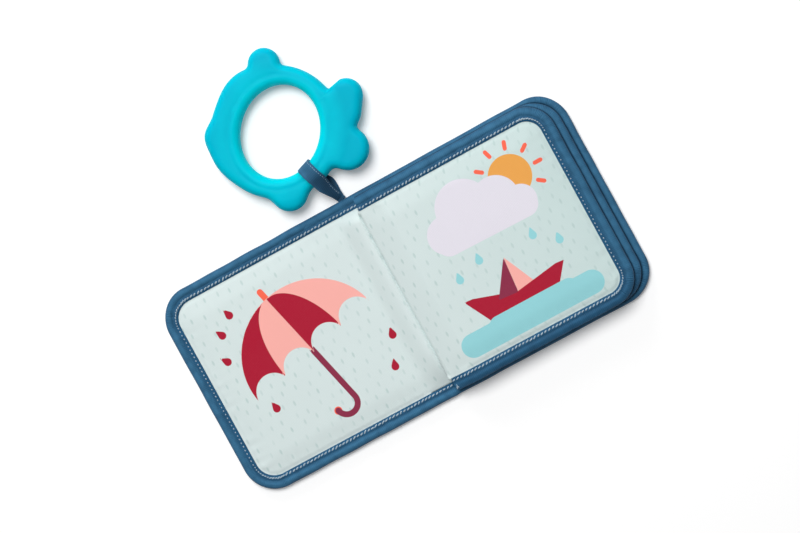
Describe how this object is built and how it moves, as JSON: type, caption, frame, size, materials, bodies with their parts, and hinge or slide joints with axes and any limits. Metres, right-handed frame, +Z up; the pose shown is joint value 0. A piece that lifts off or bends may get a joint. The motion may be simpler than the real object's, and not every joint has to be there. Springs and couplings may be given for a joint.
{
  "type": "bath book with teething ring",
  "caption": "Soft padded bath book lying open, its covers and leaves bound in blue tape, with a fish-shaped teething ring on a cloth loop at the spine.",
  "frame": {"origin": "under the middle of the whole open book and its ring, on the table it lies on", "axes": "+X across the spread towards the back cover's fore-edge, +Y up the pages towards the ring, +Z up from the table"},
  "size_m": [0.283, 0.246, 0.0174],
  "materials": {
    "printed_cloth": "printed, satin",
    "cover_cloth": "printed, satin",
    "binding_tape": "ribbed, matte",
    "pad_foam": "open-cell foam",
    "ring_silicone": "satin, slightly translucent"
  },
  "bodies": {
    "back_cover": {"back_cover_sheet": "cover_cloth", "back_foam": "pad_foam", "spread_3_right": "printed_cloth", "back_binding": "binding_tape", "spine_sheet": "cover_cloth", "spine_binding_top": "binding_tape", "spine_binding_bottom": "binding_tape", "spread_1_fold": "printed_cloth"},
    "front_cover": {"front_cover_sheet": "cover_cloth", "front_foam": "pad_foam", "spread_1_left": "printed_cloth", "front_binding": "binding_tape"},
    "leaf_2": {"spread_2_right": "printed_cloth", "leaf_2_foam": "pad_foam", "spread_3_left": "printed_cloth", "leaf_2_binding": "binding_tape"},
    "leaf_1": {"spread_1_right": "printed_cloth", "leaf_1_foam": "pad_foam", "spread_2_left": "printed_cloth", "leaf_1_binding": "binding_tape"},
    "loop": {"hanging_loop": "binding_tape"},
    "ring": {"teether_ring": "ring_silicone"}
  },
  "joints": [
    {"name": "front_cover_fold", "type": "hinge", "parent": "back_cover", "child": "front_cover", "pos_m": [0, -0.05305, 0.0117], "axis": [0, 1, 0], "range_deg": [0, 180]},
    {"name": "leaf_2_turn", "type": "hinge", "parent": "back_cover", "child": "leaf_2", "pos_m": [0, -0.05305, 0.0117], "axis": [0, -1, 0], "range_deg": [0, 180]},
    {"name": "leaf_1_turn", "type": "hinge", "parent": "leaf_2", "child": "leaf_1", "pos_m": [0, -0.05305, 0.0117], "axis": [0, -1, 0], "range_deg": [0, 180]},
    {"name": "loop_swing", "type": "hinge", "parent": "back_cover", "child": "loop", "pos_m": [-0.006, 0.01922, 0.00259], "axis": [0.9455, 0.3256, 0], "range_deg": [0, 65]},
    {"name": "ring_pivot", "type": "hinge", "parent": "loop", "child": "ring", "pos_m": [-0.01294, 0.03936, 0.00853], "axis": [0.9455, 0.3256, 0], "range_deg": [0, 90]}
  ]
}
